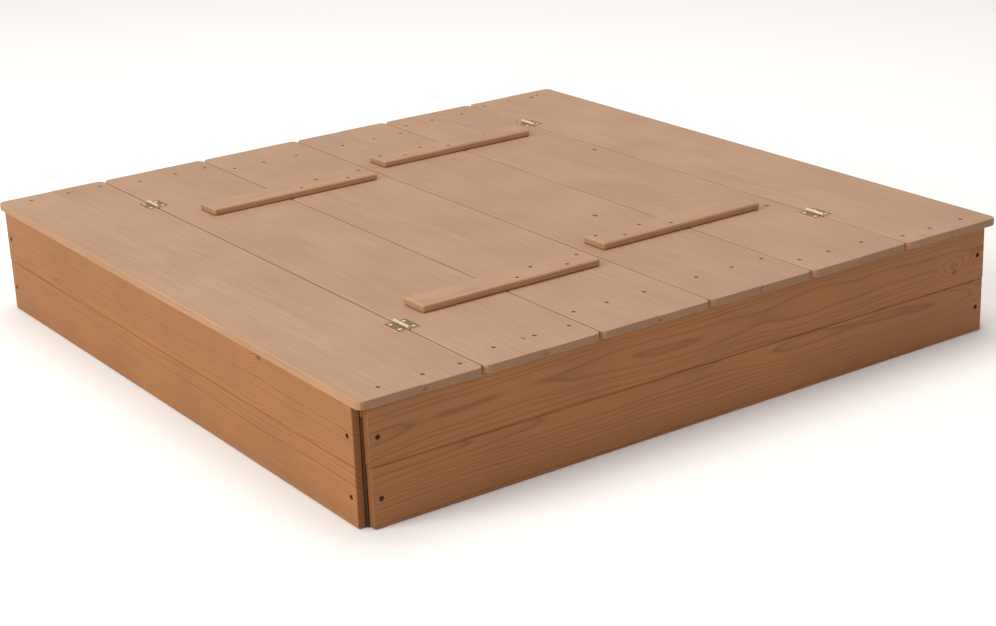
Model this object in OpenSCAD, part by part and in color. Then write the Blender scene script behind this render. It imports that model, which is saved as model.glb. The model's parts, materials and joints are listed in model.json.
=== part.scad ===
// Square wooden sandpit whose six-panel lid unfolds into two benches.
// X runs left to right, Y front to back, Z up. The origin is the middle of the box, on the ground.

/* [Box] */
// Outer width of the box, left to right
box_w = 1200; // [1000:10:1500]
// Outer depth of the box, front to back
box_d = 1200; // [1000:10:1500]
// Height that one wall board covers
board_h = 89; // [75:1:120]
// Thickness of a wall board
board_t = 12.5; // [11:0.5:20]
// Gap between a wall board's end and the face it would meet in the corner
corner_gap = 2.2; // [1:0.1:6]
// Side of a square corner post
post_size = 34; // [28:1:50]
// Rounding of a corner post's long edges
post_round = 4; // [2:0.5:8]

/* [Tongue and groove] */
// Thickness of a tongue
tongue_t = 4; // [3:0.5:5]
// Length of a tongue
tongue_l = 5; // [3:0.5:7]
// Clearance round a tongue in its groove
groove_clear = 0.3; // [0.1:0.1:0.6]
// Bevel on each side of a joint's V
joint_bevel = 1.8; // [0.5:0.1:2.4]

/* [Lid] */
// Thickness of a lid board
lid_t = 12.5; // [11:0.5:20]
// How far the lid stands out over the left and right walls
side_overhang = 2; // [0:0.5:10]
// How far the lid stands out over the front and rear walls
end_overhang = 10; // [2:1:30]
// Gap between two neighbouring panels
panel_gap = 2.4; // [2:0.1:5]
// Plan radius of a panel's corners
panel_r = 12; // [4:1:25]

/* [Battens] */
// Width of a top batten
batten_w = 54; // [40:1:80]
// Thickness of a top batten
batten_t = 12; // [10:0.5:20]
// Distance from the lid's front or rear edge to the middle of its nearest batten, before the stagger
batten_end = 287; // [200:1:400]
// How far each pair is moved along its panel, left forward and right rearward
batten_stagger = 28; // [0:1:60]
// How far a batten reaches over the seat panel, and down the wall as the backrest's stop
batten_lap = 150; // [120:1:160]
// Distance from the lid's middle seam to a batten's end
batten_inset = 25; // [10:1:60]
// Plan radius of a batten's corners
batten_r = 4; // [1:0.5:10]

/* [Cleats] */
// Thickness of every cleat under the lid
cleat_t = 18; // [14:1:30]
// Width of a seat's or backrest's cleat
cleat_w = 40; // [24:1:60]
// Width of a fixed panel's cleat, which is screwed to the wall
fixed_cleat_w = 20; // [16:1:40]
// Clearance between a seat's cleat and the wall
cleat_wall_gap = 10.5; // [3:0.5:30]
// Clearance between the seat's row of cleats and the backrest's row
cleat_row_gap = 2; // [1:0.5:10]
// Distance from a panel's edge to the end of its cleat
cleat_end_gap = 6; // [3:0.5:20]

/* [Hinges] */
// Length of a butt hinge
hinge_l = 40; // [30:1:60]
// Width of an open butt hinge
hinge_w = 38; // [30:1:50]
// Thickness of a hinge leaf
leaf_t = 1.2; // [0.8:0.1:1.6]
// Diameter of a hinge pin
pin_d = 3; // [2.5:0.1:4]
// Radial running clearance between a pin and a turning knuckle
pin_clear = 0.05; // [0.02:0.01:0.1]
// Gap between two neighbouring knuckles
knuckle_gap = 0.4; // [0.2:0.1:1]
// Distance from the lid's front or rear edge to the middle of its nearest hinge
hinge_end = 210; // [150:5:300]

/* [Screws] */
// Diameter of a wall screw
wall_screw_d = 4; // [3.5:0.5:5]
// Length of a wall screw
wall_screw_l = 25; // [20:5:35]
// Diameter of a screw through a lid panel into its cleat
panel_screw_d = 3.5; // [3:0.5:4]
// Length of a screw through a lid panel into its cleat
panel_screw_l = 25; // [18:1:28]
// Diameter of a screw through a batten into its panel
batten_screw_d = 3.5; // [3:0.5:4]
// Length of a screw through a batten into its panel
batten_screw_l = 20; // [16:1:23]
// Diameter of a screw through a fixed cleat into the wall
cleat_screw_d = 4; // [3:0.5:4]
// Length of a screw through a fixed cleat into the wall
cleat_screw_l = 30; // [25:1:31]
// Diameter of a hinge screw
hinge_screw_d = 3; // [2.5:0.5:3.5]
// Length of a hinge screw
hinge_screw_l = 11; // [8:1:12]
// Clearance round a screw in its hole
screw_clear = 0.1; // [0.05:0.05:0.3]
// How deep a wall screw's head is sunk below the face
wall_sink = 1.4; // [0:0.2:3]
// How deep a lid screw's head is sunk below the face
lid_sink = 0.4; // [0:0.1:2]
// Height of a wall screw above its board's lower edge
wall_screw_h = 42; // [25:1:60]
// Distance from a panel's edge to its nearest screw
screw_edge = 20; // [12:1:30]

/* [Hidden] */
$fn = 32;
eps = 0.01;
walls_h = 2 * board_h;
lid_top = walls_h + lid_t;
in_x = box_w / 2 - board_t;
in_y = box_d / 2 - board_t;
lid_half = box_w / 2 + side_overhang;
panel_pitch = lid_half / 3;
panel_l = box_d + 2 * end_overhang;
post_h = walls_h - cleat_t;
hinge_span = panel_l - 2 * hinge_end;
batten_span = panel_l - 2 * batten_end;
// A curled knuckle is a little thicker than its leaf
curl = 0.05;
knuckle_r = pin_d / 2 + pin_clear + leaf_t + curl;
// Height of a hinge pin over the face that its leaves are screwed to, which its knuckles clear
knuckle_lift = 0.15;
pin_rise = knuckle_r + knuckle_lift;
knuckles = 5;
knuckle_l = hinge_l / knuckles;
leaf_w = hinge_w / 2;
leaf_hole_x = leaf_w * 0.6;
leaf_hole_y = hinge_l * 0.32;
// A screw is [diameter, length]
wall_screw = [wall_screw_d, wall_screw_l];
panel_screw = [panel_screw_d, panel_screw_l];
batten_screw = [batten_screw_d, batten_screw_l];
cleat_screw = [cleat_screw_d, cleat_screw_l];
hinge_screw = [hinge_screw_d, hinge_screw_l];
// Room past a screw's tip, and the radius that its point ends in
tip_room = 0.5;
point_r = 0.3;
// Gap between a fixed cleat's end and the side wall
cleat_side_gap = 0.5;

wood = "burlywood";
stained = "peru";
zinc = "goldenrod";

DOWN = [180, 0, 0];
UP = [0, 0, 0];
REARWARD = [-90, 0, 0];
FORWARD = [90, 0, 0];
RIGHTWARD = [0, 90, 0];

// ---- Placing ----

// Everything on the right is the left-hand piece mirrored
module on_side(side) {
  mirror([side == "right" ? 1 : 0, 0, 0]) children();
}

module on_end(end) {
  mirror([0, end == "rear" ? 1 : 0, 0]) children();
}

// Left-hand seams, counted from the lid's left edge: 0, 1, 2, and 3 in the middle
function seam(i) = -lid_half + i * panel_pitch;
function panel_x0(k) = seam(k) + (k == 0 ? 0 : panel_gap / 2);
function panel_x1(k) = seam(k + 1) - panel_gap / 2;

// ---- Screws: a screw is [place of its head's face, turn, size] ----

function head_r(size) = size[0];
function head_h(size) = size[0] / 2;

module place_screw(s) {
  translate(s[0]) rotate(s[1]) children();
}

module screw(size) {
  r = size[0] / 2;
  tip = size[0];
  cylinder(h = head_h(size), r1 = head_r(size), r2 = r);
  translate([0, 0, head_h(size) - eps]) cylinder(h = size[1] - tip - head_h(size) + 2 * eps, r = r);
  translate([0, 0, size[1] - tip]) cylinder(h = tip, r1 = r, r2 = point_r);
}

module screw_hole(size, sink) {
  r = size[0] / 2 + screw_clear;
  translate([0, 0, -sink - 1]) cylinder(h = sink + 1 + eps, r = head_r(size) + screw_clear);
  cylinder(h = head_h(size), r1 = head_r(size) + screw_clear, r2 = r);
  cylinder(h = size[1] + tip_room, r = r);
}

module screws(list) {
  for (s = list) place_screw(s) screw(s[2]);
}

module screw_holes(list, sink) {
  for (s = list) place_screw(s) screw_hole(s[2], sink);
}

// Rows of lid screws: two in one board and one in the middle of the other
row_fractions = [screw_edge, panel_pitch / 2 - screw_edge, panel_pitch * 0.75];
function row_x(k) = [for (d = row_fractions) k == 2 ? seam(2) + d : seam(k + 1) - d];
fixed_row_y = in_y - fixed_cleat_w / 2;
seat_row_y = in_y - cleat_wall_gap - cleat_w / 2;
rest_row_y = seat_row_y - cleat_w - cleat_row_gap;
function row_y(k) = [fixed_row_y, seat_row_y, rest_row_y][k];
function panel_screws(k) = [
  for (y = [-1, 1], x = row_x(k)) [[x, y * row_y(k), lid_top - lid_sink], DOWN, panel_screw]
];

// Fixed cleats are screwed to the wall between their lid screws
function cleat_screws(end) = [
  for (i = [0, 1])
    let (x = seam(1) - (row_fractions[i] + row_fractions[i + 1]) / 2, y = in_y - fixed_cleat_w)
      end == "front"
        ? [[x, -y, walls_h - cleat_t / 2], FORWARD, cleat_screw]
        : [[x, y, walls_h - cleat_t / 2], REARWARD, cleat_screw]
];

// Corner screws, one for each board end: [0] into a side board, [1] into an end board
corner_x = in_x - post_size / 2;
corner_y = in_y - post_size / 2;
screw_heights = [wall_screw_h, board_h + wall_screw_h];
function side_screws() = [
  for (y = [-corner_y, corner_y], z = screw_heights)
    [[-box_w / 2 + wall_sink, y, z], RIGHTWARD, wall_screw]
];
function end_screws() = [
  for (x = [-corner_x, corner_x], z = screw_heights)
    [[x, -box_d / 2 + wall_sink, z], REARWARD, wall_screw]
];

// Batten screws zigzag, two into each board of the backrest
batten_steps = [0.14, 0.36, 0.61, 0.8];
function batten_y(side, end) =
  (end == "front" ? -1 : 1) * batten_span / 2 + (side == "left" ? -1 : 1) * batten_stagger;
function batten_screws(side, end) = [
  for (i = [0 : 3])
    [[seam(2) + batten_steps[i] * panel_pitch,
      batten_y(side, end) + (i % 2 == 0 ? -1 : 1) * batten_w / 4,
      lid_top + batten_t - lid_sink], DOWN, batten_screw]
];

// Hinge screws: outward = -1 for the leaf on the box's side of the pin, and 1 for the other
function leaf_screws(i, outward, face) = [
  for (y = [-hinge_span / 2, hinge_span / 2], d = [-leaf_hole_y, leaf_hole_y])
    [[seam(i) + outward * leaf_hole_x, y + d, face == "top" ? lid_top + leaf_t : walls_h - leaf_t],
      face == "top" ? DOWN : UP, hinge_screw]
];

// ---- Box ----

module end_profile(level) {
  mid = board_t / 2;
  half = tongue_t / 2;
  slot = half + groove_clear;
  if (level == "lower")
    polygon([
      [0, 0], [board_t, 0], [board_t, board_h], [mid + half, board_h],
      [mid + half, board_h + tongue_l], [mid - half, board_h + tongue_l], [mid - half, board_h],
      [joint_bevel, board_h], [0, board_h - joint_bevel]
    ]);
  else
    polygon([
      [0, board_h + joint_bevel], [joint_bevel, board_h], [mid - slot, board_h],
      [mid - slot, board_h + tongue_l + groove_clear], [mid + slot, board_h + tongue_l + groove_clear],
      [mid + slot, board_h], [board_t, board_h], [board_t, walls_h], [0, walls_h]
    ]);
}

// A board of the front wall, from its outer face inwards
module end_board(level) {
  length = box_w - 2 * (board_t + corner_gap);
  color(stained)
  difference() {
    translate([-length / 2, -box_d / 2, 0])
      rotate([90, 0, 90]) linear_extrude(length) end_profile(level);
    screw_holes(end_screws(), wall_sink);
    screw_holes(cleat_screws("front"), 0);
    on_side("right") screw_holes(cleat_screws("front"), 0);
  }
}

// A board of the left wall
module side_board(level) {
  length = box_d - 2 * (board_t + corner_gap);
  color(stained)
  difference() {
    translate([-box_w / 2, length / 2, 0])
      rotate([90, 0, 0]) linear_extrude(length) end_profile(level);
    screw_holes(side_screws(), wall_sink);
  }
}

module rounded_rect(w, l, r) {
  translate([0, r]) square([w, l - 2 * r]);
  translate([r, 0]) square([w - 2 * r, l]);
  for (x = [r, w - r], y = [r, l - r]) translate([x, y]) circle(r);
}

module corner_post() {
  color(wood)
  difference() {
    translate([-in_x, -in_y, 0]) linear_extrude(post_h) rounded_rect(post_size, post_size, post_round);
    screw_holes(side_screws(), wall_sink);
    screw_holes(end_screws(), wall_sink);
  }
}

// ---- Lid ----

module panel_profile(k, half_name) {
  x0 = panel_x0(k);
  x1 = panel_x1(k);
  mid_x = seam(k) + panel_pitch / 2;
  mid_z = walls_h + lid_t / 2;
  half = tongue_t / 2;
  slot = half + groove_clear;
  if (half_name == "outer")
    polygon([
      [x0, walls_h], [mid_x - joint_bevel, walls_h], [mid_x, walls_h + joint_bevel],
      [mid_x, mid_z - half], [mid_x + tongue_l, mid_z - half], [mid_x + tongue_l, mid_z + half],
      [mid_x, mid_z + half], [mid_x, lid_top], [x0, lid_top]
    ]);
  else
    polygon([
      [mid_x + joint_bevel, walls_h], [x1, walls_h], [x1, lid_top], [mid_x, lid_top],
      [mid_x, mid_z + slot], [mid_x + tongue_l + groove_clear, mid_z + slot],
      [mid_x + tongue_l + groove_clear, mid_z - slot], [mid_x, mid_z - slot],
      [mid_x, walls_h + joint_bevel]
    ]);
}

// One of the two boards of left-hand panel k: 0 fixed, 1 seat, 2 backrest
module panel_board(side, k, half_name) {
  color(wood)
  difference() {
    intersection() {
      translate([0, panel_l / 2, 0]) rotate([90, 0, 0]) linear_extrude(panel_l) panel_profile(k, half_name);
      translate([panel_x0(k), -panel_l / 2, walls_h - 1])
        linear_extrude(lid_t + 2) rounded_rect(panel_x1(k) - panel_x0(k), panel_l, panel_r);
    }
    screw_holes(panel_screws(k), lid_sink);
    if (k == 0) screw_holes(leaf_screws(1, -1, "top"), 0);
    if (k == 1) screw_holes(leaf_screws(1, 1, "top"), 0);
    if (k == 1) screw_holes(leaf_screws(2, -1, "under"), 0);
    if (k == 2) screw_holes(leaf_screws(2, 1, "under"), 0);
    if (k == 2) screw_holes(batten_screws(side, "front"), lid_sink);
    if (k == 2) screw_holes(batten_screws(side, "rear"), lid_sink);
  }
}

module fixed_cleat() {
  x0 = -in_x + cleat_side_gap;
  x1 = panel_x1(0) - cleat_end_gap;
  color(wood)
  difference() {
    translate([x0, -in_y, walls_h - cleat_t]) cube([x1 - x0, fixed_cleat_w, cleat_t]);
    screw_holes(panel_screws(0), lid_sink);
    screw_holes(cleat_screws("front"), 0);
  }
}

module panel_cleat(k) {
  x0 = panel_x0(k) + cleat_end_gap;
  x1 = panel_x1(k) - cleat_end_gap;
  color(wood)
  difference() {
    translate([x0, -row_y(k) - cleat_w / 2, walls_h - cleat_t]) cube([x1 - x0, cleat_w, cleat_t]);
    screw_holes(panel_screws(k), lid_sink);
  }
}

module batten(side, end) {
  x0 = seam(2) - batten_lap;
  x1 = -batten_inset;
  color(stained)
  difference() {
    translate([x0, batten_y(side, end) - batten_w / 2, lid_top])
      linear_extrude(batten_t) rounded_rect(x1 - x0, batten_w, batten_r);
    screw_holes(batten_screws(side, end), lid_sink);
  }
}

// ---- Hinges: pin along Y at the origin, and the leaves' screwed face pin_rise below it ----

// own = 0 for the leaf with the outer knuckles, which holds the pin tight, and 1 for the other
module leaf(own) {
  bore = pin_d / 2 + (own == 0 ? 0 : pin_clear);
  clear_x = knuckle_r + knuckle_gap;
  difference() {
    union() {
      translate([clear_x, -hinge_l / 2, -pin_rise]) cube([leaf_w - clear_x, hinge_l, leaf_t]);
      for (i = [own : 2 : knuckles - 1])
        translate([0, -hinge_l / 2 + i * knuckle_l + knuckle_gap / 2, 0]) {
          translate([0, 0, -pin_rise]) cube([clear_x + eps, knuckle_l - knuckle_gap, leaf_t]);
          rotate([-90, 0, 0]) cylinder(h = knuckle_l - knuckle_gap, r = knuckle_r);
        }
    }
    translate([0, -hinge_l, 0]) rotate([-90, 0, 0]) cylinder(h = 2 * hinge_l, r = bore);
    for (y = [-leaf_hole_y, leaf_hole_y])
      translate([leaf_hole_x, y, leaf_t - pin_rise]) rotate(DOWN) screw_hole(hinge_screw, 0);
  }
}

module at_hinges(i, face) {
  for (y = [-hinge_span / 2, hinge_span / 2])
    translate([seam(i), y, face == "top" ? lid_top + pin_rise : walls_h - pin_rise])
      mirror([0, 0, face == "top" ? 0 : 1]) children();
}

// The pair of leaves on one side of seam i
module leaves(i, outward, face) {
  color(zinc) at_hinges(i, face) mirror([outward < 0 ? 1 : 0, 0, 0]) leaf(outward < 0 ? 0 : 1);
}

module pins(i, face) {
  color(zinc) at_hinges(i, face)
    translate([0, -hinge_l / 2, 0]) rotate([-90, 0, 0]) cylinder(h = hinge_l, r = pin_d / 2);
}

module zinc_screws(list) {
  color(zinc) screws(list);
}

module wall_screw_set() {
  for (side = ["left", "right"]) on_side(side) zinc_screws(side_screws());
  for (end = ["front", "rear"]) on_end(end) zinc_screws(end_screws());
}

module fixed_screw_set(list) {
  for (side = ["left", "right"]) on_side(side) zinc_screws(list);
}

// ---- Nodes ----

for (end = ["front", "rear"], level = ["lower", "upper"])
  on_end(end) end_board(level);

for (side = ["left", "right"], level = ["lower", "upper"])
  on_side(side) side_board(level);

for (end = ["front", "rear"], side = ["left", "right"])
  on_side(side) on_end(end) corner_post();

wall_screw_set();  // wall_screws
fixed_screw_set(panel_screws(0));  // fixed_panel_screws
fixed_screw_set(leaf_screws(1, -1, "top"));  // fixed_leaf_screws
fixed_screw_set(concat(cleat_screws("front"), cleat_screws("rear")));  // fixed_cleat_screws

// Right-hand nodes are mirrored, so a right-hand batten's stagger is set before the mirror
panel_names = ["fixed", "seat", "rest"];
for (side = ["left", "right"]) on_side(side) {
  for (k = [0 : 2], half_name = ["outer", "inner"])
    panel_board(side, k, half_name);

  for (end = ["front", "rear"]) on_end(end) {
    fixed_cleat();
    for (k = [1, 2])
      panel_cleat(k);
  }

  for (end = ["front", "rear"])
    batten(side, end);

  leaves(1, -1, "top");
  leaves(1, 1, "top");
  pins(1, "top");
  leaves(2, -1, "under");
  leaves(2, 1, "under");
  pins(2, "under");

  zinc_screws(concat(panel_screws(1), leaf_screws(1, 1, "top"), leaf_screws(2, -1, "under")));
  zinc_screws(concat(panel_screws(2), leaf_screws(2, 1, "under"),
      batten_screws(side, "front"), batten_screws(side, "rear")));
}
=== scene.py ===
"""Stained spruce sandpit whose board lid unfolds into two benches: boards, screws, hinges and their finishes.

Laid out as an add-on and run as a script. Everything is in metres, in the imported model's own frame.
"""

import json
import math
import random

import bmesh
import bpy
from bpy.props import FloatProperty, FloatVectorProperty, IntProperty, PointerProperty
from mathutils import Matrix, Vector


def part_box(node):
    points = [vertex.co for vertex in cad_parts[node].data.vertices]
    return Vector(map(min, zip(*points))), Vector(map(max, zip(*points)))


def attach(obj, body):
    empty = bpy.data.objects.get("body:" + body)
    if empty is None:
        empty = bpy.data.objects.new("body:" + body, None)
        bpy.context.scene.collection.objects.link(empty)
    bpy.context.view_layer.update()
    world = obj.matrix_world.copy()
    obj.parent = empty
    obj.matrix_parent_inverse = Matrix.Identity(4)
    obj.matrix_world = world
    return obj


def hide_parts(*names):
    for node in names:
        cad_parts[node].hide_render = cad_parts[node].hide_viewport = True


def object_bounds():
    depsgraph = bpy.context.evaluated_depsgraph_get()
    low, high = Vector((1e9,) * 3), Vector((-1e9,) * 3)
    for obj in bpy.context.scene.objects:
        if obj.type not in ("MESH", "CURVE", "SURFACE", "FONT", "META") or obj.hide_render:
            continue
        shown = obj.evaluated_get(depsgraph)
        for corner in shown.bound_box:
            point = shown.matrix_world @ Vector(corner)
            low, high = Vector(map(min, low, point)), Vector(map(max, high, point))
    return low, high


bl_info = {
    "name": "Lidded Sandpit",
    "version": (1, 0, 0),
    "blender": (4, 5, 0),
    "location": "View3D > Sidebar > Sandpit",
    "description": "Builds a wooden sandpit's boards, screws, hinges and finishes round its packed frame",
    "category": "Object",
}

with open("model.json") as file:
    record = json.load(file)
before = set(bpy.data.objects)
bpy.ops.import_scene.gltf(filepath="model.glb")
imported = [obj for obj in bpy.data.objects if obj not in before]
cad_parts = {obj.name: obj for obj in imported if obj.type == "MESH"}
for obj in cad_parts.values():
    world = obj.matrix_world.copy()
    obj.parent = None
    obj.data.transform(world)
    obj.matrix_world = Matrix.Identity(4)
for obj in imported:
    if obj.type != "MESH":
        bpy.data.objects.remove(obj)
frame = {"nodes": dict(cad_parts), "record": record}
CAD_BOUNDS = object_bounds()
MM = 0.001


def linear(hex_code):
    """Linear colour of an sRGB hex code."""
    channels = [int(hex_code[i:i + 2], 16) / 255 for i in (1, 3, 5)]
    return tuple(c / 12.92 if c <= 0.04045 else ((c + 0.055) / 1.055) ** 2.4 for c in channels)


def length_property(name, description, millimetres):
    """A length in the sidebar, given in millimetres here and kept in metres."""
    return FloatProperty(name=name, description=description, default=millimetres * MM, min=0.0,
                         unit="LENGTH", precision=4)


def colour_property(name, description, hex_code):
    """A colour in the sidebar, given as an sRGB hex code here and kept linear."""
    return FloatVectorProperty(name=name, description=description, default=linear(hex_code),
                               subtype="COLOR", size=3, min=0.0, max=1.0)


# ---- What a user would change ----


class SandpitBoards(bpy.types.PropertyGroup):
    """Roundings and joint sizes of the sawn and planed pieces."""

    panel_corner: length_property("Panel Corner", "Plan radius of a lid panel's corners", 12)
    batten_corner: length_property("Batten Corner", "Plan radius of a batten's corners", 4)
    square_corner: length_property("Square Corner", "Plan radius of a sawn end's corners", 1.2)
    lid_arris: length_property("Lid Arris", "Rounding along a lid board's edges", 1.5)
    batten_arris: length_property("Batten Arris", "Rounding along a batten's edges", 3.6)
    wall_arris: length_property("Wall Arris", "Rounding along a wall board's edges", 1.6)
    strip_arris: length_property("Strip Arris", "Rounding along a post's or cleat's edges", 1.0)
    uneven: length_property("Uneven Ends", "How far one board of a panel may stop short of the other", 1.6)
    joint_gap: length_property("Joint Gap", "Hairline left between two joined boards", 0.12)


class SandpitWood(bpy.types.PropertyGroup):
    """Colours and figure of the stained spruce."""

    wall_stain: colour_property("Wall Stain", "Stained spring wood of the walls", "#9f6a3c")
    # The lid's and battens' stains are the walls' stain made paler and greyer: a painted sheen of the pale
    # sky on their upward faces
    lid_stain: colour_property("Lid Stain", "Stained spring wood of the lid boards", "#b18d71")
    batten_stain: colour_property("Batten Stain", "Stained spring wood of the battens", "#b38d6f")
    cleat_stain: colour_property("Cleat Stain", "Stained spring wood of the cleats", "#96693f")
    # The posts' stain is much darker than the walls': painted shade, so a post seen through a corner's gap
    # reads as a dark slot
    post_stain: colour_property("Post Stain", "Stained spring wood of the posts", "#3f2b1c")
    late: colour_property("Latewood", "Stained summer wood of the growth rings", "#6e4221")
    knot: colour_property("Knot", "Heart of a knot", "#74492a")
    ring_pitch: length_property("Ring Pitch", "Distance between growth rings", 4.0)
    knot_spacing: length_property("Knot Spacing", "Distance between knots along a board", 420)
    seed: IntProperty(name="Seed", description="Picks which cut of the log each board has", default=11)


class SandpitMetal(bpy.types.PropertyGroup):
    """Colours of the hinges and screws."""

    # The leaves' plate colour is darkened as a painted dark reflection, and the knuckle colour is a painted
    # highlight on the curved faces
    hinge: colour_property("Hinge", "Yellow-passivated zinc plate of the leaves", "#8f7049")
    knuckle_highlight: colour_property("Knuckle", "Plate rubbed bright on the knuckles", "#f4e2be")
    pin: colour_property("Pin", "Bright zinc plate of the pins", "#d8d4c8")
    # Near white and only part metallic, so the small screw heads show as bright spots from every side: zinc
    # plate with a painted glint
    hinge_screw_and_glint: colour_property("Hinge Screw", "Yellow-passivated zinc plate of the small screws", "#f0e8d0")
    wood_screw: colour_property("Wood Screw", "Bronze coat of the wall screws", "#4c3827")
    lid_screw: colour_property("Lid Screw", "Bronze coat of the lid screws, brushed over with stain",
                               "#8d6044")


class SandpitStage(bpy.types.PropertyGroup):
    """Floor, lights and camera."""

    floor: colour_property("Floor", "Pale studio floor", "#fbfaf8")
    azimuth: FloatProperty(name="Azimuth", description="Turn of the view from +Y towards +X",
                           default=math.radians(34.3), subtype="ANGLE")
    elevation: FloatProperty(name="Elevation", description="How steeply the camera looks down",
                             default=math.radians(19.8), subtype="ANGLE")
    roll: FloatProperty(name="Roll", description="Turn of the camera about its view axis",
                        default=math.radians(-2.4), subtype="ANGLE")
    distance: FloatProperty(name="Distance", description="From the camera to the middle of the box",
                            default=3.487, unit="LENGTH")
    aim: FloatVectorProperty(name="Aim", description="Point at the middle of the view",
                             default=(0.027, -0.017, 0.003), subtype="XYZ", unit="LENGTH")
    lens: FloatProperty(name="Lens", description="Focal length on a 36 mm sensor, in millimetres",
                        default=73.4)
    key: FloatProperty(name="Key", description="Power of the soft light on the left", default=375.0,
                       unit="POWER")
    top: FloatProperty(name="Top", description="Power of the soft light overhead", default=80.0,
                       unit="POWER")
    fill: FloatProperty(name="Fill", description="Strength of the light from all round", default=0.55)


# ---- Node helper ----


def add(tree, kind, settings=None, inputs=None):
    """Adds a node, sets its properties, and sets or links its inputs."""
    node = tree.nodes.new(kind)
    for name, value in (settings or {}).items():
        setattr(node, name, value)
    for key, value in (inputs or {}).items():
        for source in value if isinstance(value, list) else [value]:
            if isinstance(source, bpy.types.NodeSocket):
                tree.links.new(source, node.inputs[key])
            else:
                node.inputs[key].default_value = source
    return node


# ---- Materials ----

MULTIPLY = {"operation": "MULTIPLY"}
MULTIPLY_ADD = {"operation": "MULTIPLY_ADD"}


def new_material(name):
    """An empty material, its tree and its Principled shader."""
    material = bpy.data.materials.new(name)
    material.use_nodes = True
    tree = material.node_tree
    tree.nodes.clear()
    shader = add(tree, "ShaderNodeBsdfPrincipled")
    add(tree, "ShaderNodeOutputMaterial", inputs={"Surface": shader.outputs[0]})
    return material, tree, shader


# Places for a knot are about this far apart across a board, and this share of them has one
KNOT_ROW = 85 * MM
KNOT_SHARE = 0.2
KNOT_RADII = (3.2 * MM, 7.8 * MM)
# A branch is cut at a slant, which makes the knot this much longer than it is wide
KNOT_SLANT = 1.35
# Its outline is ragged by this much, in bumps of this size, and its rim starts at this share of its radius
KNOT_RAGGED, KNOT_BUMP = 2.4 * MM, 6.25 * MM
KNOT_RIM = 0.62
KNOT_RING_PITCH = 1.5 * MM
# The growth rings swell round a knot by this much, within this distance of it
SWELL, SWELL_REACH = 11 * MM, 45 * MM

# The pith wanders within this width and height, with this many bends in each metre along and across
WANDER = (0.0, 22 * MM, 30 * MM)
BENDS = (2.1, 7.0, 7.0)
# How much a log's radius shrinks in each metre of its length
TAPER = 0.006
# Wide rings follow narrow ones: how many rings they stray by, and how often
STRAY, STRAY_RATE = 2.2, 0.35
# How dark a ring is from its spring wood to its summer wood: a place in the ring, and a share of the dark
RING = ((0.0, 0.3), (0.07, 0.04), (0.6, 0.09), (0.83, 0.5), (0.94, 1.0), (1.0, 0.4))

# Fibres in each metre, along and across. They are 111 mm by 2.4 mm, coarser than real ones, which are too
# fine to show
FIBRES = (9.0, 420.0, 420.0)
# Patches in each metre where the stain went on thick or thin: they are 167 mm across
BLOTCHES = 6.0
# How far the summer wood and the raised fibres stand up
RELIEF = 0.35 * MM


def knot_pattern(tree, grain, spacing):
    """A knot now and then: the distance to its heart, its rim, its radius, its fill, and the rings' swell.

    Each place for a knot is the point of a cell in a stretched pattern, measured back in metres.
    """
    cell = (spacing, KNOT_ROW, 1.0)
    per_cell = add(tree, "ShaderNodeVectorMath", {"operation": "DIVIDE"}, {0: grain, 1: cell}).outputs[0]
    cells = add(tree, "ShaderNodeTexVoronoi", {"voronoi_dimensions": "2D"},
                {"Vector": per_cell, "Scale": 1.0})
    off = add(tree, "ShaderNodeVectorMath", {"operation": "SUBTRACT"},
              {0: per_cell, 1: cells.outputs["Position"]}).outputs[0]
    oval = (spacing / KNOT_SLANT, KNOT_ROW, 0.0)
    away = add(tree, "ShaderNodeVectorMath", MULTIPLY, {0: off, 1: oval}).outputs[0]
    reach = add(tree, "ShaderNodeVectorMath", {"operation": "LENGTH"}, {0: away}).outputs["Value"]
    ragged = add(tree, "ShaderNodeTexNoise", inputs={"Vector": grain, "Scale": 1 / KNOT_BUMP, "Detail": 2.0})
    reach = add(tree, "ShaderNodeMath", MULTIPLY_ADD,
                {0: ragged.outputs["Fac"], 1: KNOT_RAGGED, 2: reach}).outputs[0]

    chance = add(tree, "ShaderNodeSeparateColor", inputs={0: cells.outputs["Color"]})
    present = add(tree, "ShaderNodeMath", {"operation": "GREATER_THAN"},
                  {0: chance.outputs[0], 1: 1 - KNOT_SHARE}).outputs[0]
    radius = add(tree, "ShaderNodeMapRange",
                 inputs={0: chance.outputs[1], 3: KNOT_RADII[0], 4: KNOT_RADII[1]}).outputs[0]
    rim = add(tree, "ShaderNodeMath", MULTIPLY, {0: radius, 1: KNOT_RIM}).outputs[0]
    fill = add(tree, "ShaderNodeMapRange", {"interpolation_type": "SMOOTHSTEP"},
               {0: reach, 1: rim, 2: radius, 3: 1.0, 4: 0.0}).outputs[0]
    fill = add(tree, "ShaderNodeMath", MULTIPLY, {0: fill, 1: present}).outputs[0]
    swell = add(tree, "ShaderNodeMapRange", {"interpolation_type": "SMOOTHERSTEP"},
                {0: reach, 1: 0.0, 2: SWELL_REACH, 3: SWELL, 4: 0.0}).outputs[0]
    swell = add(tree, "ShaderNodeMath", MULTIPLY, {0: swell, 1: present}).outputs[0]
    return reach, rim, radius, fill, swell


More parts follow.
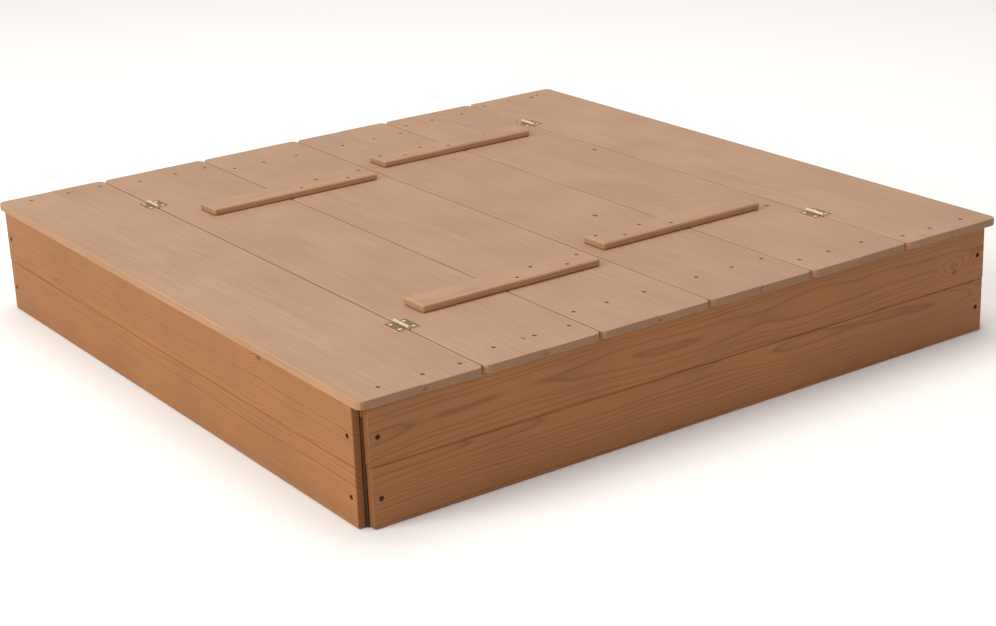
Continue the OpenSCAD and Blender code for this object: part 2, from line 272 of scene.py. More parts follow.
def ring_pattern(tree, grain, swell, pitch):
    """How dark the growth rings are: cylinders round a pith that wanders, in a log that tapers."""
    stretched = add(tree, "ShaderNodeVectorMath", MULTIPLY, {0: grain, 1: BENDS}).outputs[0]
    bend = add(tree, "ShaderNodeTexNoise",
               inputs={"Vector": stretched, "Scale": 1.0, "Detail": 2.5, "Roughness": 0.45}).outputs["Color"]
    bend = add(tree, "ShaderNodeVectorMath", MULTIPLY_ADD,
               {0: bend, 1: WANDER, 2: tuple(-0.5 * way for way in WANDER)}).outputs[0]
    cross = add(tree, "ShaderNodeVectorMath", MULTIPLY_ADD,
                {0: grain, 1: (0.0, 1.0, 1.0), 2: bend}).outputs[0]
    radius = add(tree, "ShaderNodeVectorMath", {"operation": "LENGTH"}, {0: cross}).outputs["Value"]
    along = add(tree, "ShaderNodeSeparateXYZ", inputs={0: grain}).outputs[0]
    radius = add(tree, "ShaderNodeMath", MULTIPLY_ADD, {0: along, 1: TAPER, 2: radius}).outputs[0]
    radius = add(tree, "ShaderNodeMath", {"operation": "SUBTRACT"}, {0: radius, 1: swell}).outputs[0]
    rings = add(tree, "ShaderNodeMath", {"operation": "DIVIDE"}, {0: radius, 1: pitch}).outputs[0]
    stray = add(tree, "ShaderNodeTexNoise", {"noise_dimensions": "1D"},
                {"W": rings, "Scale": STRAY_RATE, "Detail": 1.0}).outputs["Fac"]
    rings = add(tree, "ShaderNodeMath", MULTIPLY_ADD, {0: stray, 1: STRAY, 2: rings}).outputs[0]
    phase = add(tree, "ShaderNodeMath", {"operation": "FRACT"}, {0: rings}).outputs[0]
    ramp = add(tree, "ShaderNodeValToRGB", inputs={0: phase})
    stops = ramp.color_ramp.elements
    for position, _ in RING[1:-1]:
        stops.new(position)
    for stop, (position, dark) in zip(stops, RING):
        stop.position, stop.color = position, (dark, dark, dark, 1)
    return ramp.outputs[0]


def knot_colour(tree, colour, reach, rim, radius):
    """A knot's own tight rings, and its dark rim of bark."""
    turn = add(tree, "ShaderNodeMath", MULTIPLY, {0: reach, 1: math.tau / KNOT_RING_PITCH}).outputs[0]
    rings = add(tree, "ShaderNodeMath", {"operation": "SINE"}, {0: turn}).outputs[0]
    rings = add(tree, "ShaderNodeMapRange", inputs={0: rings, 1: -1.0, 2: 1.0, 3: 0.8, 4: 1.25}).outputs[0]
    bark = add(tree, "ShaderNodeMapRange", inputs={0: reach, 1: rim, 2: radius, 3: 1.0, 4: 0.55}).outputs[0]
    shade = add(tree, "ShaderNodeMath", MULTIPLY, {0: rings, 1: bark}).outputs[0]
    return add(tree, "ShaderNodeVectorMath", {"operation": "SCALE"}, {0: tuple(colour), 3: shade}).outputs[0]


def stained_spruce(name, wood, early, contrast, end_shade, side_stain_and_light):
    """Spruce, sawn, planed and brushed with a thin brown stain.

    The growth rings are cylinders round the log's pith, so a board's face shows long arches and its end
    shows arcs. End grain soaks up the most stain and is the darkest, and the stain wears thin on the arrises.
    """
    material, tree, shader = new_material(name)
    read = {key: add(tree, "ShaderNodeAttribute", {"attribute_name": key}).outputs
            for key in ("grain", "tone", "end_grain", "arris", "edge")}
    grain = read["grain"]["Vector"]
    reach, rim, radius, fill, swell = knot_pattern(tree, grain, wood.knot_spacing)
    late = ring_pattern(tree, grain, swell, wood.ring_pitch)
    stretched = add(tree, "ShaderNodeVectorMath", MULTIPLY, {0: grain, 1: FIBRES}).outputs[0]
    fibre = add(tree, "ShaderNodeTexNoise",
                inputs={"Vector": stretched, "Scale": 1.0, "Detail": 3.0, "Roughness": 0.6}).outputs["Fac"]
    blotch = add(tree, "ShaderNodeTexNoise",
                 inputs={"Vector": grain, "Scale": BLOTCHES, "Detail": 3.0}).outputs["Fac"]

    # Rings first, then everything that only lightens or darkens them
    strength = add(tree, "ShaderNodeMath", MULTIPLY, {0: late, 1: contrast}).outputs[0]
    colour = add(tree, "ShaderNodeMix", {"data_type": "RGBA"},
                 {0: strength, 6: (*early, 1), 7: (*wood.late, 1)}).outputs[2]
    shade = add(tree, "ShaderNodeMapRange", inputs={0: fibre, 1: 0.3, 2: 0.75, 3: 1.06, 4: 0.86}).outputs[0]
    soak = add(tree, "ShaderNodeMapRange", inputs={0: blotch, 1: 0.3, 2: 0.7, 3: 0.93, 4: 1.07}).outputs[0]
    end = add(tree, "ShaderNodeMapRange",
              inputs={0: read["end_grain"]["Fac"], 3: 1.0, 4: end_shade}).outputs[0]
    worn = add(tree, "ShaderNodeMath", MULTIPLY, {0: read["arris"]["Fac"], 1: blotch}).outputs[0]
    worn = add(tree, "ShaderNodeMapRange", inputs={0: worn, 1: 0.2, 2: 0.7, 3: 1.0, 4: 1.08}).outputs[0]
    for factor in (soak, read["tone"]["Fac"], end, worn):
        shade = add(tree, "ShaderNodeMath", MULTIPLY, {0: shade, 1: factor}).outputs[0]
    colour = add(tree, "ShaderNodeVectorMath", {"operation": "SCALE"}, {0: colour, 3: shade}).outputs[0]
    # Planed faces shed some of the stain, and a board's sides drink it. The sides' tint is also painted
    # light:
    # painted shade that darkens the lid's seams, and painted light on the battens' sides
    side = add(tree, "ShaderNodeVectorMath", MULTIPLY, {0: colour, 1: side_stain_and_light}).outputs[0]
    colour = add(tree, "ShaderNodeMix", {"data_type": "RGBA"},
                 {0: read["edge"]["Fac"], 6: colour, 7: side}).outputs[2]
    knot = knot_colour(tree, wood.knot, reach, rim, radius)
    colour = add(tree, "ShaderNodeMix", {"data_type": "RGBA"}, {0: fill, 6: colour, 7: knot}).outputs[2]

    # A thin satin stain: summer wood is a little glossier than the fibres that stand up round it
    roughness = add(tree, "ShaderNodeMapRange", inputs={0: late, 3: 0.62, 4: 0.5}).outputs[0]
    relief = add(tree, "ShaderNodeMath", MULTIPLY_ADD, {0: late, 1: 0.7, 2: fibre}).outputs[0]
    relief = add(tree, "ShaderNodeMath", {"operation": "SUBTRACT"}, {0: relief, 1: fill}).outputs[0]
    bump = add(tree, "ShaderNodeBump",
               inputs={"Strength": 0.5, "Distance": RELIEF, "Height": relief}).outputs[0]
    for socket, source in (("Base Color", colour), ("Roughness", roughness), ("Normal", bump)):
        tree.links.new(source, shader.inputs[socket])
    shader.inputs["IOR"].default_value = 1.5
    shader.inputs["Specular IOR Level"].default_value = 0.3
    return material


# Clouds in each metre of plate: they are 5.6 mm across
CLOUDS = 180.0
# A face of a pressing counts as level when its normal's upright part is over this
LEVEL = 0.998


def plated_metal(name, colour, roughness, metallic=1.0, highlit=None):
    """Pressed and plated mild steel: a satin metal with faint clouds where the bath took unevenly.

    A passivated coat is milky, so it is less than fully metallic and looks bright from every side; on the
    near-white small screws that brightness is a painted glint. Where a pressing isn't level, on its edges and
    knuckles, it takes the brighter colour: a painted highlight.
    """
    material, tree, shader = new_material(name)
    place = add(tree, "ShaderNodeTexCoord").outputs
    cloud = add(tree, "ShaderNodeTexNoise",
                inputs={"Vector": place["Object"], "Scale": CLOUDS, "Detail": 3.0}).outputs["Fac"]
    shade = add(tree, "ShaderNodeMapRange", inputs={0: cloud, 1: 0.3, 2: 0.7, 3: 0.78, 4: 1.1}).outputs[0]
    plate = add(tree, "ShaderNodeVectorMath", {"operation": "SCALE"}, {0: tuple(colour), 3: shade}).outputs[0]
    gloss = add(tree, "ShaderNodeMapRange",
                inputs={0: cloud, 1: 0.3, 2: 0.7, 3: roughness + 0.1, 4: roughness - 0.06}).outputs[0]
    # Painted highlight: faces that aren't level, the knuckles and the leaves' edges, take the bright colour
    if highlit:
        upright = add(tree, "ShaderNodeSeparateXYZ", inputs={0: place["Normal"]}).outputs[2]
        upright = add(tree, "ShaderNodeMath", {"operation": "ABSOLUTE"}, {0: upright}).outputs[0]
        curved = add(tree, "ShaderNodeMath", {"operation": "LESS_THAN"}, {0: upright, 1: LEVEL}).outputs[0]
        plate = add(tree, "ShaderNodeMix", {"data_type": "RGBA"},
                    {0: curved, 6: plate, 7: (*highlit, 1)}).outputs[2]
    tree.links.new(plate, shader.inputs["Base Color"])
    tree.links.new(gloss, shader.inputs["Roughness"])
    shader.inputs["Metallic"].default_value = metallic
    return material


def matt_paint(name, colour):
    """Smooth matt paint on the studio floor: no gloss, so only soft shadows show."""
    material, tree, shader = new_material(name)
    shader.inputs["Base Color"].default_value = (*colour, 1)
    shader.inputs["Roughness"].default_value = 0.9
    shader.inputs["Specular IOR Level"].default_value = 0.1
    return material


def material(name, make, *arguments):
    """The material of that name, made when it is first asked for."""
    return bpy.data.materials.get(name) or make(name, *arguments)


# How each kind of board takes the stain: its setting, the strength of its rings, how dark its end grain
# is, and what its edges multiply their colour by. That factor is partly the stain that sawn edges drink and
# partly painted light: painted shade in the lid's seams and painted light on the battens' sides
WOODS = {
    "walls": ("wall_stain", 0.6, 0.72, (1.04, 0.97, 0.86)),
    # Posts: the dark stain is painted shade for the gaps at the corners
    "posts": ("post_stain", 0.4, 0.6, (1.0, 0.95, 0.9)),
    # Lid and battens: paler, greyer stains as a painted sheen on their tops
    "lid": ("lid_stain", 0.15, 0.74, (0.93, 0.84, 0.72)),
    "battens": ("batten_stain", 0.18, 0.85, (1.12, 1.0, 0.82)),
    "cleats": ("cleat_stain", 0.4, 0.7, (1.04, 0.97, 0.86)),
}


def wood_finish(context, kind):
    """The stained spruce of one kind of board."""
    wood = context.scene.sandpit_wood
    stain, *recipe = WOODS[kind]
    return material(f"stained planed spruce, {kind}", stained_spruce, wood, getattr(wood, stain), *recipe)


# ---- Small mesh helpers ----

# Edges sharper than this stay sharp, and a face this square to an axis is flat
SHARP = math.radians(35)
FLAT = 0.999


def new_object(name, data):
    """An object with that data, in the scene."""
    thing = bpy.data.objects.new(name, data)
    bpy.context.scene.collection.objects.link(thing)
    return thing


def solid(name, bm):
    """A closed solid's object, with its faces turned outwards."""
    bmesh.ops.recalc_face_normals(bm, faces=bm.faces)
    mesh = bpy.data.meshes.new(name)
    bm.to_mesh(mesh)
    bm.free()
    return new_object(name, mesh)


def lathe(name, outline, steps):
    """A closed solid turned about Z from (radius, height) points that start and end on the axis."""
    bm = bmesh.new()
    rings = []
    for radius, height in outline:
        turns = [0.0] if radius == 0 else [math.tau * i / steps for i in range(steps)]
        rings.append([bm.verts.new((radius * math.cos(a), radius * math.sin(a), height)) for a in turns])
    for low, high in zip(rings, rings[1:]):
        for i in range(steps):
            corners = [low[i % len(low)], low[(i + 1) % len(low)],
                       high[(i + 1) % len(high)], high[i % len(high)]]
            bm.faces.new(list(dict.fromkeys(corners)))
    return solid(name, bm)


def prism(name, outline, place):
    """A closed solid from a 2D outline at both ends: place(a, t, end) puts a point of it in space."""
    bm = bmesh.new()
    ends = [[bm.verts.new(place(a, t, end)) for a, t in outline] for end in (0, 1)]
    bm.faces.new(ends[0])
    bm.faces.new(ends[1][::-1])
    for i in range(len(outline)):
        j = (i + 1) % len(outline)
        bm.faces.new((ends[0][j], ends[0][i], ends[1][i], ends[1][j]))
    return solid(name, bm)


def bake(thing, name):
    """Turns an object's evaluated modifiers into a plain mesh on a new object, and drops the old one."""
    bpy.context.view_layer.update()
    depsgraph = bpy.context.evaluated_depsgraph_get()
    mesh = bpy.data.meshes.new_from_object(thing.evaluated_get(depsgraph), depsgraph=depsgraph)
    bpy.data.objects.remove(thing)
    mesh.name = name
    return new_object(name, mesh)


def smooth(thing):
    """Smooth shading on rounded faces, up to their sharp edges, while level ones stay flat."""
    mesh = thing.data
    mesh.set_sharp_from_angle(angle=SHARP)
    mesh.polygons.foreach_set("use_smooth", [max(map(abs, face.normal)) < FLAT for face in mesh.polygons])
    return thing


def set_input(modifier, name, value):
    """Sets a Geometry Nodes modifier's input by its socket's identifier."""
    for item in modifier.node_group.interface.items_tree:
        if item.item_type == "SOCKET" and item.in_out == "INPUT" and item.name == name:
            modifier[item.identifier] = value
            return
    raise KeyError(name)


def tree_of(name, make):
    """The Geometry Nodes tree of that name, made when it is first asked for."""
    return bpy.data.node_groups.get(name) or make(name)


def new_tree(name, sockets):
    """A Geometry Nodes tree with these inputs and one geometry output."""
    tree = bpy.data.node_groups.new(name, "GeometryNodeTree")
    tree.interface.new_socket("Geometry", in_out="INPUT", socket_type="NodeSocketGeometry")
    for socket, kind in sockets:
        tree.interface.new_socket(socket, in_out="INPUT", socket_type=kind)
    tree.interface.new_socket("Geometry", in_out="OUTPUT", socket_type="NodeSocketGeometry")
    return tree, add(tree, "NodeGroupInput").outputs


# ---- Screws ----

# Corners of a CAD node's loose triangles that are this close are one corner
MERGE = 0.002 * MM
# Corners within this share of a screw's length of its end belong to that end
END_SHARE = 0.02


class Screw:
    """A screw of the frame: its head face's middle, the way it points, its head's radius and its length."""

    def __init__(self, corners):
        low = Vector([min(c[i] for c in corners) for i in range(3)])
        high = Vector([max(c[i] for c in corners) for i in range(3)])
        size = high - low
        axis = max(range(3), key=lambda i: size[i])
        middle = (low + high) / 2

        def spread(level):
            """How far the corners at one end stand off the screw's axis."""
            ring = [c for c in corners if abs(c[axis] - level) < size[axis] * END_SHARE]
            return max(math.dist([c[i] for i in range(3) if i != axis],
                                 [middle[i] for i in range(3) if i != axis]) for c in ring)

        head_is_low = spread(low[axis]) > spread(high[axis])
        self.way = Vector([0.0, 0.0, 0.0])
        self.way[axis] = 1.0 if head_is_low else -1.0
        self.place = middle.copy()
        self.place[axis] = low[axis] if head_is_low else high[axis]
        self.radius = max(size[i] for i in range(3) if i != axis) / 2
        self.length = size[axis]


def islands(mesh):
    """The corner points of each separate solid in a CAD node's mesh."""
    bm = bmesh.new()
    bm.from_mesh(mesh)
    bmesh.ops.remove_doubles(bm, verts=bm.verts, dist=MERGE)
    unseen = set(bm.verts)
    found = []
    while unseen:
        group, front = [], [unseen.pop()]
        while front:
            vert = front.pop()
            group.append(vert.co.copy())
            for edge in vert.link_edges:
                other = edge.other_vert(vert)
                if other in unseen:
                    unseen.remove(other)
                    front.append(other)
        found.append(group)
    bm.free()
    return sorted(found, key=lambda group: [round(sum(c[i] for c in group) / len(group), 4)
                                            for i in range(3)])


def screw_points(name, screws, seed):
    """Points for the tree to put screws on, with each one's turn, head radius and length."""
    mesh = bpy.data.meshes.new(name)
    mesh.from_pydata([screw.place for screw in screws], [], [])
    rng = random.Random(seed)
    turns = []
    for screw in screws:
        spin = Matrix.Rotation(rng.uniform(0, math.tau), 3, "Z").to_quaternion()
        turns.extend((screw.way.to_track_quat("Z", "Y") @ spin).to_euler())
    mesh.attributes.new("turn", "FLOAT_VECTOR", "POINT").data.foreach_set("vector", turns)
    for key, values in (("girth", [screw.radius for screw in screws]),
                        ("reach", [screw.length for screw in screws])):
        mesh.attributes.new(key, "FLOAT", "POINT").data.foreach_set("value", values)
    return new_object(name, mesh)


# Outlines of a screw whose head's radius is 1: radius and depth below the head's face
HEAD = [(0, 0.02), (0.95, 0.02), (0.985, 0.05), (0.5, 0.5), (0, 0.5)]
HEAD_STEPS, SHANK_STEPS = 20, 12
# Each arm of the cross recess narrows with depth, and is this wide
RECESS = [(-0.6, -0.2), (0.6, -0.2), (0.28, 0.4), (-0.28, 0.4)]
RECESS_WIDTH = 0.22
# Radii of the plain shank, of the thread's crest and of its core
SHANK_PLAIN, SHANK_THREAD, SHANK_CORE = 0.44, 0.495, 0.37
# Where the thread starts and how long it is, as shares of the screw's length
THREAD_START, THREAD_LENGTH = 0.3, 0.54
THREADS = 9
# Hinge screws' heads are up to the first radius, lid screws' up to the second, and wall screws' are larger
SMALL_GIRTH, MEDIUM_GIRTH = 3.2 * MM, 3.75 * MM


def shank_outline():
    """A shank of unit length: plain under the head, then threaded down to its point."""
    outline = [(0, 0.05), (SHANK_PLAIN, 0.05), (SHANK_PLAIN, THREAD_START)]
    for i in range(THREADS):
        low = THREAD_START + THREAD_LENGTH * i / THREADS
        outline += [(SHANK_THREAD, low + 0.025), (SHANK_CORE, low + 0.05)]
    return outline + [(SHANK_CORE, 0.85), (0.05, 0.995), (0, 0.995)]


def screw_head():
    """A countersunk head with a cross recess."""
    head = lathe("head_blank", HEAD, HEAD_STEPS)
    arms = []
    for quarter in (0, 1):
        turn = Matrix.Rotation(quarter * math.pi / 2, 3, "Z")
        arms.append(prism("arm", RECESS, lambda a, t, end, turn=turn:
                          turn @ Vector((a, (end - 0.5) * RECESS_WIDTH, t))))
    for arm in arms:
        cut = head.modifiers.new("Recess", "BOOLEAN")
        cut.object = arm
        cut.solver = "EXACT"
    head = bake(head, "screw_head")
    for arm in arms:
        bpy.data.objects.remove(arm)
    return head


def instances_on(tree, points, template, stretch):
    """Puts a template on every screw point, turned and sized by the point's attributes."""
    read = {}
    for key, kind in (("turn", "FLOAT_VECTOR"), ("girth", "FLOAT"), ("reach", "FLOAT")):
        node = add(tree, "GeometryNodeInputNamedAttribute", {"data_type": kind}, {"Name": key})
        read[key] = next(output for output in node.outputs if output.enabled)
    turn = add(tree, "FunctionNodeEulerToRotation", inputs={0: read["turn"]}).outputs[0]
    depth = read["reach"] if stretch else read["girth"]
    scale = add(tree, "ShaderNodeCombineXYZ",
                inputs={0: read["girth"], 1: read["girth"], 2: depth}).outputs[0]
    shape = add(tree, "GeometryNodeObjectInfo", inputs={"Object": template}).outputs["Geometry"]
    return add(tree, "GeometryNodeInstanceOnPoints",
               inputs={"Points": points, "Instance": shape, "Rotation": turn, "Scale": scale}).outputs[0]


def screw_tree(name):
    """Screws on points: a head sized by its girth, and a shank also stretched to its reach.

    Screws over the small girth, and over the medium one, are wood screws and get finishes of their own.
    """
    sockets = [("Head", "NodeSocketObject"), ("Shank", "NodeSocketObject")]
    sockets += [(f"{size} Girth", "NodeSocketFloat") for size in ("Small", "Medium")]
    sockets += [(f"{size} Finish", "NodeSocketMaterial") for size in ("Small", "Medium", "Large")]
    tree, given = new_tree(name, sockets)
    points = add(tree, "GeometryNodeMeshToPoints", inputs={"Mesh": given["Geometry"]}).outputs[0]
    both = [instances_on(tree, points, given["Head"], False),
            instances_on(tree, points, given["Shank"], True)]
    joined = add(tree, "GeometryNodeJoinGeometry", inputs={0: both}).outputs[0]
    real = add(tree, "GeometryNodeRealizeInstances", inputs={0: joined}).outputs[0]
    girth = add(tree, "GeometryNodeInputNamedAttribute", {"data_type": "FLOAT"}, {"Name": "girth"})
    done = add(tree, "GeometryNodeSetMaterial", inputs={"Geometry": real, "Material": given["Small Finish"]})
    for limit, finish in (("Small Girth", "Medium Finish"), ("Medium Girth", "Large Finish")):
        over = add(tree, "FunctionNodeCompare", {"data_type": "FLOAT", "operation": "GREATER_THAN"},
                   {0: girth.outputs[0], 1: given[limit]}).outputs[0]
        done = add(tree, "GeometryNodeSetMaterial",
                   inputs={"Geometry": done.outputs[0], "Selection": over, "Material": given[finish]})
    add(tree, "NodeGroupOutput", inputs={0: done.outputs[0]})
    return tree


# ---- Boards ----

# Steps round an arris and round a corner, and the least radius that a corner keeps
ARRIS_STEPS, CORNER_STEPS = 4, 7
LEAST_CORNER = 0.1 * MM
# How far a rounded piece stays inside the CAD's faces, so that two pieces never share a plane
SKIN = 0.02 * MM


def board_tree(name):
    """A board with rounded arrises: the hull of its shrinking outlines, cut to the CAD's joints and holes."""
    sizes = ["Length", "Width", "Thickness", "Corner Radius", "Arris Radius"]
    tree, given = new_tree(name, [(size, "NodeSocketFloat") for size in sizes] + [
        ("Middle", "NodeSocketVector"), ("Turn", "NodeSocketVector"), ("Material", "NodeSocketMaterial")])
    arris = given["Arris Radius"]
    half = add(tree, "ShaderNodeMath", MULTIPLY, {0: given["Thickness"], 1: 0.5}).outputs[0]
    outlines = []
    for step in range(ARRIS_STEPS + 1):
        angle = math.pi / 2 * step / ARRIS_STEPS
        inset = 1 - math.cos(angle)
        spans = {axis: add(tree, "ShaderNodeMath", MULTIPLY_ADD,
                           {0: arris, 1: -2 * inset, 2: given[size]}).outputs[0]
                 for axis, size in enumerate(("Length", "Width"))}
        radius = add(tree, "ShaderNodeMath", MULTIPLY_ADD,
                     {0: arris, 1: -inset, 2: given["Corner Radius"]}).outputs[0]
        radius = add(tree, "ShaderNodeMath", {"operation": "MAXIMUM"},
                     {0: radius, 1: LEAST_CORNER}).outputs[0]
        outline = add(tree, "GeometryNodeCurvePrimitiveQuadrilateral", inputs=spans).outputs[0]
        outline = add(tree, "GeometryNodeFilletCurve", {"mode": "POLY"},
                      {"Curve": outline, "Radius": radius, "Count": CORNER_STEPS}).outputs[0]
        level = add(tree, "ShaderNodeMath", MULTIPLY_ADD,
                    {0: arris, 1: math.sin(angle) - 1, 2: half}).outputs[0]
        for side in (-1, 1):
            height = add(tree, "ShaderNodeMath", MULTIPLY, {0: level, 1: side}).outputs[0]
            lift = add(tree, "ShaderNodeCombineXYZ", inputs={2: height}).outputs[0]
            outlines.append(add(tree, "GeometryNodeTransform",
                                inputs={"Geometry": outline, "Translation": lift}).outputs[0])
    stack = add(tree, "GeometryNodeJoinGeometry", inputs={0: outlines}).outputs[0]
    slab = add(tree, "GeometryNodeConvexHull", inputs={0: stack}).outputs[0]
    turn = add(tree, "FunctionNodeEulerToRotation", inputs={0: given["Turn"]}).outputs[0]
    slab = add(tree, "GeometryNodeTransform",
               inputs={"Geometry": slab, "Translation": given["Middle"], "Rotation": turn}).outputs[0]
    cad = add(tree, "GeometryNodeMergeByDistance",
              inputs={"Geometry": given["Geometry"], "Distance": MERGE}).outputs[0]
    cut = add(tree, "GeometryNodeMeshBoolean", {"operation": "INTERSECT", "solver": "EXACT"},
              {"Mesh 2": [slab, cad]}).outputs[0]
    real = add(tree, "GeometryNodeRealizeInstances", inputs={0: cut}).outputs[0]
    done = add(tree, "GeometryNodeSetMaterial", inputs={"Geometry": real, "Material": given["Material"]})
    add(tree, "NodeGroupOutput", inputs={0: done.outputs[0]})
    return tree


class Stock:
    """The blank that one or two CAD nodes are cut from: its box, and its length, width and thickness axes."""

    def __init__(self, nodes):
        corners = [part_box(node) for node in nodes]
        self.low = Vector([min(low[i] for low, high in corners) for i in range(3)])
        self.high = Vector([max(high[i] for low, high in corners) for i in range(3)])
        self.size = self.high - self.low
        self.middle = (self.low + self.high) / 2
        self.axes = sorted(range(3), key=lambda i: -self.size[i])
        # Rows turn the object's axes into the blank's
        self.turn = Matrix([[float(i == axis) for i in range(3)] for axis in self.axes])
        if self.turn.determinant() < 0:
            self.turn[2] = -self.turn[2]


def joint_shift(node, nodes, gap):
    """Half of the hairline that a joined board leaves, away from its partner."""
    if len(nodes) == 1:
        return Vector()
    partner = next(other for other in nodes if other != node)
    stock = Stock(nodes)
    across = stock.axes[1]
    shift = Vector()
    middle = sum(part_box(node), Vector())[across]
    shift[across] = math.copysign(gap / 2, middle - sum(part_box(partner), Vector())[across])
    return shift


# Where in the log a blank is cut: how far along it, and how far off the pith, sideways as a share of the
# blank's width and then in depth
PITH_ALONG, PITH_ACROSS, PITH_DEPTH = 9.0, 0.3, (16 * MM, 50 * MM)
# How many degrees the grain may slope off a blank's own direction
SLOPE = 0.8
# A face is an end when its normal is this far along the blank, and an arris when it leans this far off square
END_FACING, ARRIS_FACING = 0.8, 0.985
# What a whole joint's tone, and then each board's in it, is multiplied by
JOINT_TONE, BOARD_TONE = (0.96, 1.04), (0.985, 1.015)
# The share of the uneven ends' size that a short board is short by
TRIM = (0.6, 1.0)


def write_grain(thing, stock, rng, tone):
    """Gives a board its own cut of the log, its tone, its end grain and its worn arrises, as attributes."""
    mesh = thing.data
    pith = Vector((rng.uniform(-PITH_ALONG, PITH_ALONG),
                   rng.uniform(-PITH_ACROSS, PITH_ACROSS) * stock.size[stock.axes[1]],
                   rng.choice((-1, 1)) * rng.uniform(*PITH_DEPTH)))
    slope = Matrix.Rotation(math.radians(rng.uniform(-SLOPE, SLOPE)), 3, "Z")
    grain = []
    for vertex in mesh.vertices:
        grain.extend(slope @ (stock.turn @ (vertex.co - stock.middle)) + pith)
    mesh.attributes.new("grain", "FLOAT_VECTOR", "POINT").data.foreach_set("vector", grain)
    mesh.attributes.new("tone", "FLOAT", "POINT").data.foreach_set("value", [tone] * len(mesh.vertices))
    ends = [float(abs(face.normal[stock.axes[0]]) > END_FACING) for face in mesh.polygons]
    arrises = [float(max(map(abs, face.normal)) < ARRIS_FACING) for face in mesh.polygons]
    edges = [1 - abs(face.normal[stock.axes[2]]) for face in mesh.polygons]
    for key, values in (("end_grain", ends), ("arris", arrises), ("edge", edges)):
        mesh.attributes.new(key, "FLOAT", "FACE").data.foreach_set("value", values)


BODY_OF = {node: body for body, nodes in frame["record"]["behaviour"]["bodies"].items() for node in nodes}


def hand_over(thing, node):
    """Puts a finished piece in its CAD node's place."""
    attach(thing, BODY_OF[node])
    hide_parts(node)


def cut_boards(context, pairs, corner, arris, finish):
    """Rounded copies of wooden CAD nodes. A pair of nodes is one tongue-and-groove joint."""
    boards = context.scene.sandpit_boards
    for nodes in pairs:
        stock = Stock(nodes)
        rng = random.Random(f"{context.scene.sandpit_wood.seed} {nodes[0]}")
        tone = rng.uniform(*JOINT_TONE)
        short = rng.choice(nodes) if len(nodes) > 1 else None
        for node in nodes:
            trim = rng.uniform(*TRIM) * boards.uneven if node == short else 0.0
            mesh = frame["nodes"][node].data.copy()
            mesh.transform(Matrix.Translation(joint_shift(node, nodes, boards.joint_gap)))
            mesh.materials.clear()
            host = new_object(f"{node}_stock", mesh)
            modifier = host.modifiers.new("Rounded board", "NODES")
            modifier.node_group = tree_of("Rounded board", board_tree)
            length, width, thickness = (stock.size[axis] - 2 * SKIN for axis in stock.axes)
            values = {"Length": length - 2 * trim, "Width": width, "Thickness": thickness,
                      "Corner Radius": corner, "Arris Radius": arris, "Middle": stock.middle,
                      "Turn": stock.turn.transposed().to_euler(), "Material": finish}
            for key, value in values.items():
                set_input(modifier, key, value)
            thing = smooth(bake(host, f"{node}_wood"))
            if len(thing.data.polygons) < 6:
                raise RuntimeError(f"{node} came out empty")
            write_grain(thing, stock, rng, tone * rng.uniform(*BOARD_TONE))
            hand_over(thing, node)


# ---- Operators ----

SIDES = ("left", "right")
ENDS = ("front", "rear")

# The floor reaches this far each way, is this thick, and lies this far below the sandpit
FLOOR_REACH, FLOOR_THICKNESS, FLOOR_GAP = 9.0, 20 * MM, 1 * MM
# Where each lamp hangs and how wide it is, and the point that they light
LAMPS = {"key": ((-6.6, 0.4, 4.1), 4.0), "top": ((0.4, 0.6, 4.2), 3.0)}
LIT_POINT = Vector((0, 0, 0.1))
# Slightly warm, like a room with pale walls
LAMP_COLOUR = (1.0, 0.98, 0.95)
SKY_COLOUR = (1.0, 0.985, 0.965, 1)


class SANDPIT_OT_stage(bpy.types.Operator):
    """Lays the floor, hangs the lights and sets the camera"""

    bl_idname = "sandpit.stage"
    bl_label = "Stage"

    def execute(self, context):
        settings = context.scene.sandpit_stage
        corners = [(x * FLOOR_REACH, y * FLOOR_REACH) for x, y in ((-1, -1), (1, -1), (1, 1), (-1, 1))]
        level = CAD_BOUNDS[0][2] - FLOOR_GAP
        floor = prism("floor", corners, lambda a, t, end: Vector((a, t, level - FLOOR_THICKNESS * end)))
        floor.data.materials.append(material("matt floor paint", matt_paint, settings.floor))

        world = bpy.data.worlds.new("studio")
        world.use_nodes = True
        sky = world.node_tree.nodes["Background"]
        sky.inputs["Color"].default_value = SKY_COLOUR
        sky.inputs["Strength"].default_value = settings.fill
        context.scene.world = world
        for name, (place, size) in LAMPS.items():
            lamp = bpy.data.lights.new(name, "AREA")
            lamp.size, lamp.energy = size, getattr(settings, name)
            lamp.color = LAMP_COLOUR
            thing = new_object(name, lamp)
            thing.location = place
            thing.rotation_euler = (LIT_POINT - Vector(place)).to_track_quat("-Z", "Y").to_euler()

        look = Vector((math.sin(settings.azimuth) * math.cos(settings.elevation),
                       math.cos(settings.azimuth) * math.cos(settings.elevation),
                       -math.sin(settings.elevation)))
        right = Vector((math.cos(settings.azimuth), -math.sin(settings.azimuth), 0))
        turn = Matrix.Rotation(-settings.roll, 3, look)
        right = turn @ right
        axes = Matrix((right, right.cross(look), -look)).transposed()
        lens = bpy.data.cameras.new("camera")
        lens.lens = settings.lens
        lens.sensor_width = 36
        lens.clip_end = 60
        camera = new_object("camera", lens)
        place = Vector(settings.aim) - look * settings.distance
        camera.matrix_world = Matrix.Translation(place) @ axes.to_4x4()
        context.scene.camera = camera
        context.scene.view_settings.view_transform = "Standard"
        return {"FINISHED"}


